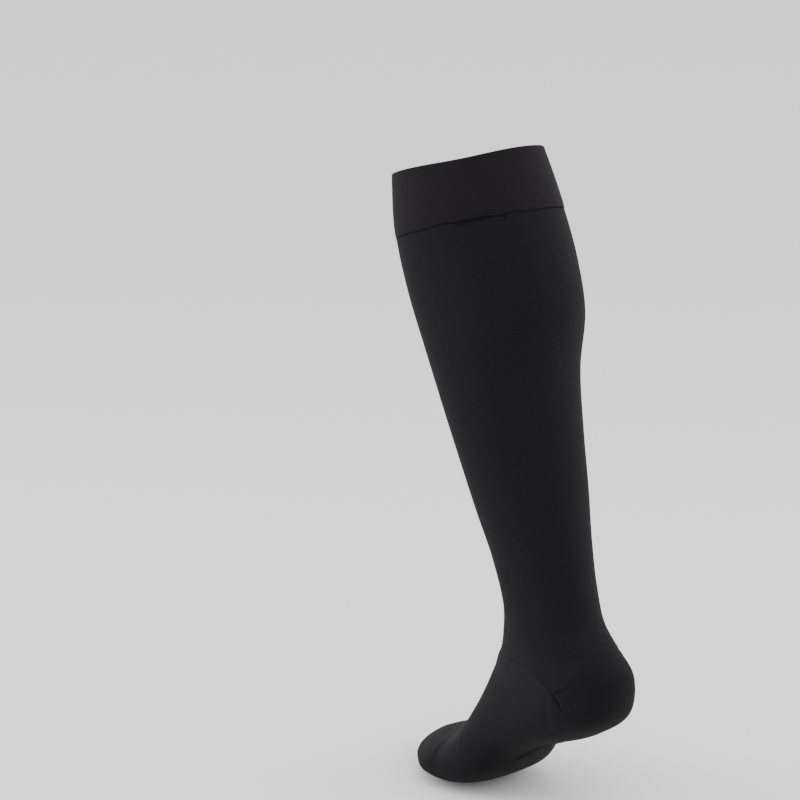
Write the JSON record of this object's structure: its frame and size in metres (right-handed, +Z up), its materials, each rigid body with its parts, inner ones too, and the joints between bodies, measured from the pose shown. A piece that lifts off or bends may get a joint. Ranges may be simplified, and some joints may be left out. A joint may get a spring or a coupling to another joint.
{
  "type": "compression stocking",
  "caption": "Knee-high closed-toe compression stocking in its worn form, heel raised and leg leaning forward, that squeezes the lower leg to help blood flow.",
  "frame": {"origin": "centre of the top opening, in the plane of the band's top edge", "axes": "+Z up, -Y the way the toes point, +X the outer side of the left leg; the leg leans forward 18.3 degrees about X"},
  "size_m": [0.1247, 0.2408, 0.4749],
  "materials": {
    "band_knit": "matte doubled knit, black",
    "leg_knit": "fine matte knit, black, a little lighter where it turns away",
    "pocket_knit": "fine matte knit with nylon plating, black"
  },
  "bodies": {
    "root": {"top_band": "band_knit", "leg_and_foot": "leg_knit", "heel_pocket": "pocket_knit", "toe_cap": "pocket_knit"}
  },
  "joints": []
}
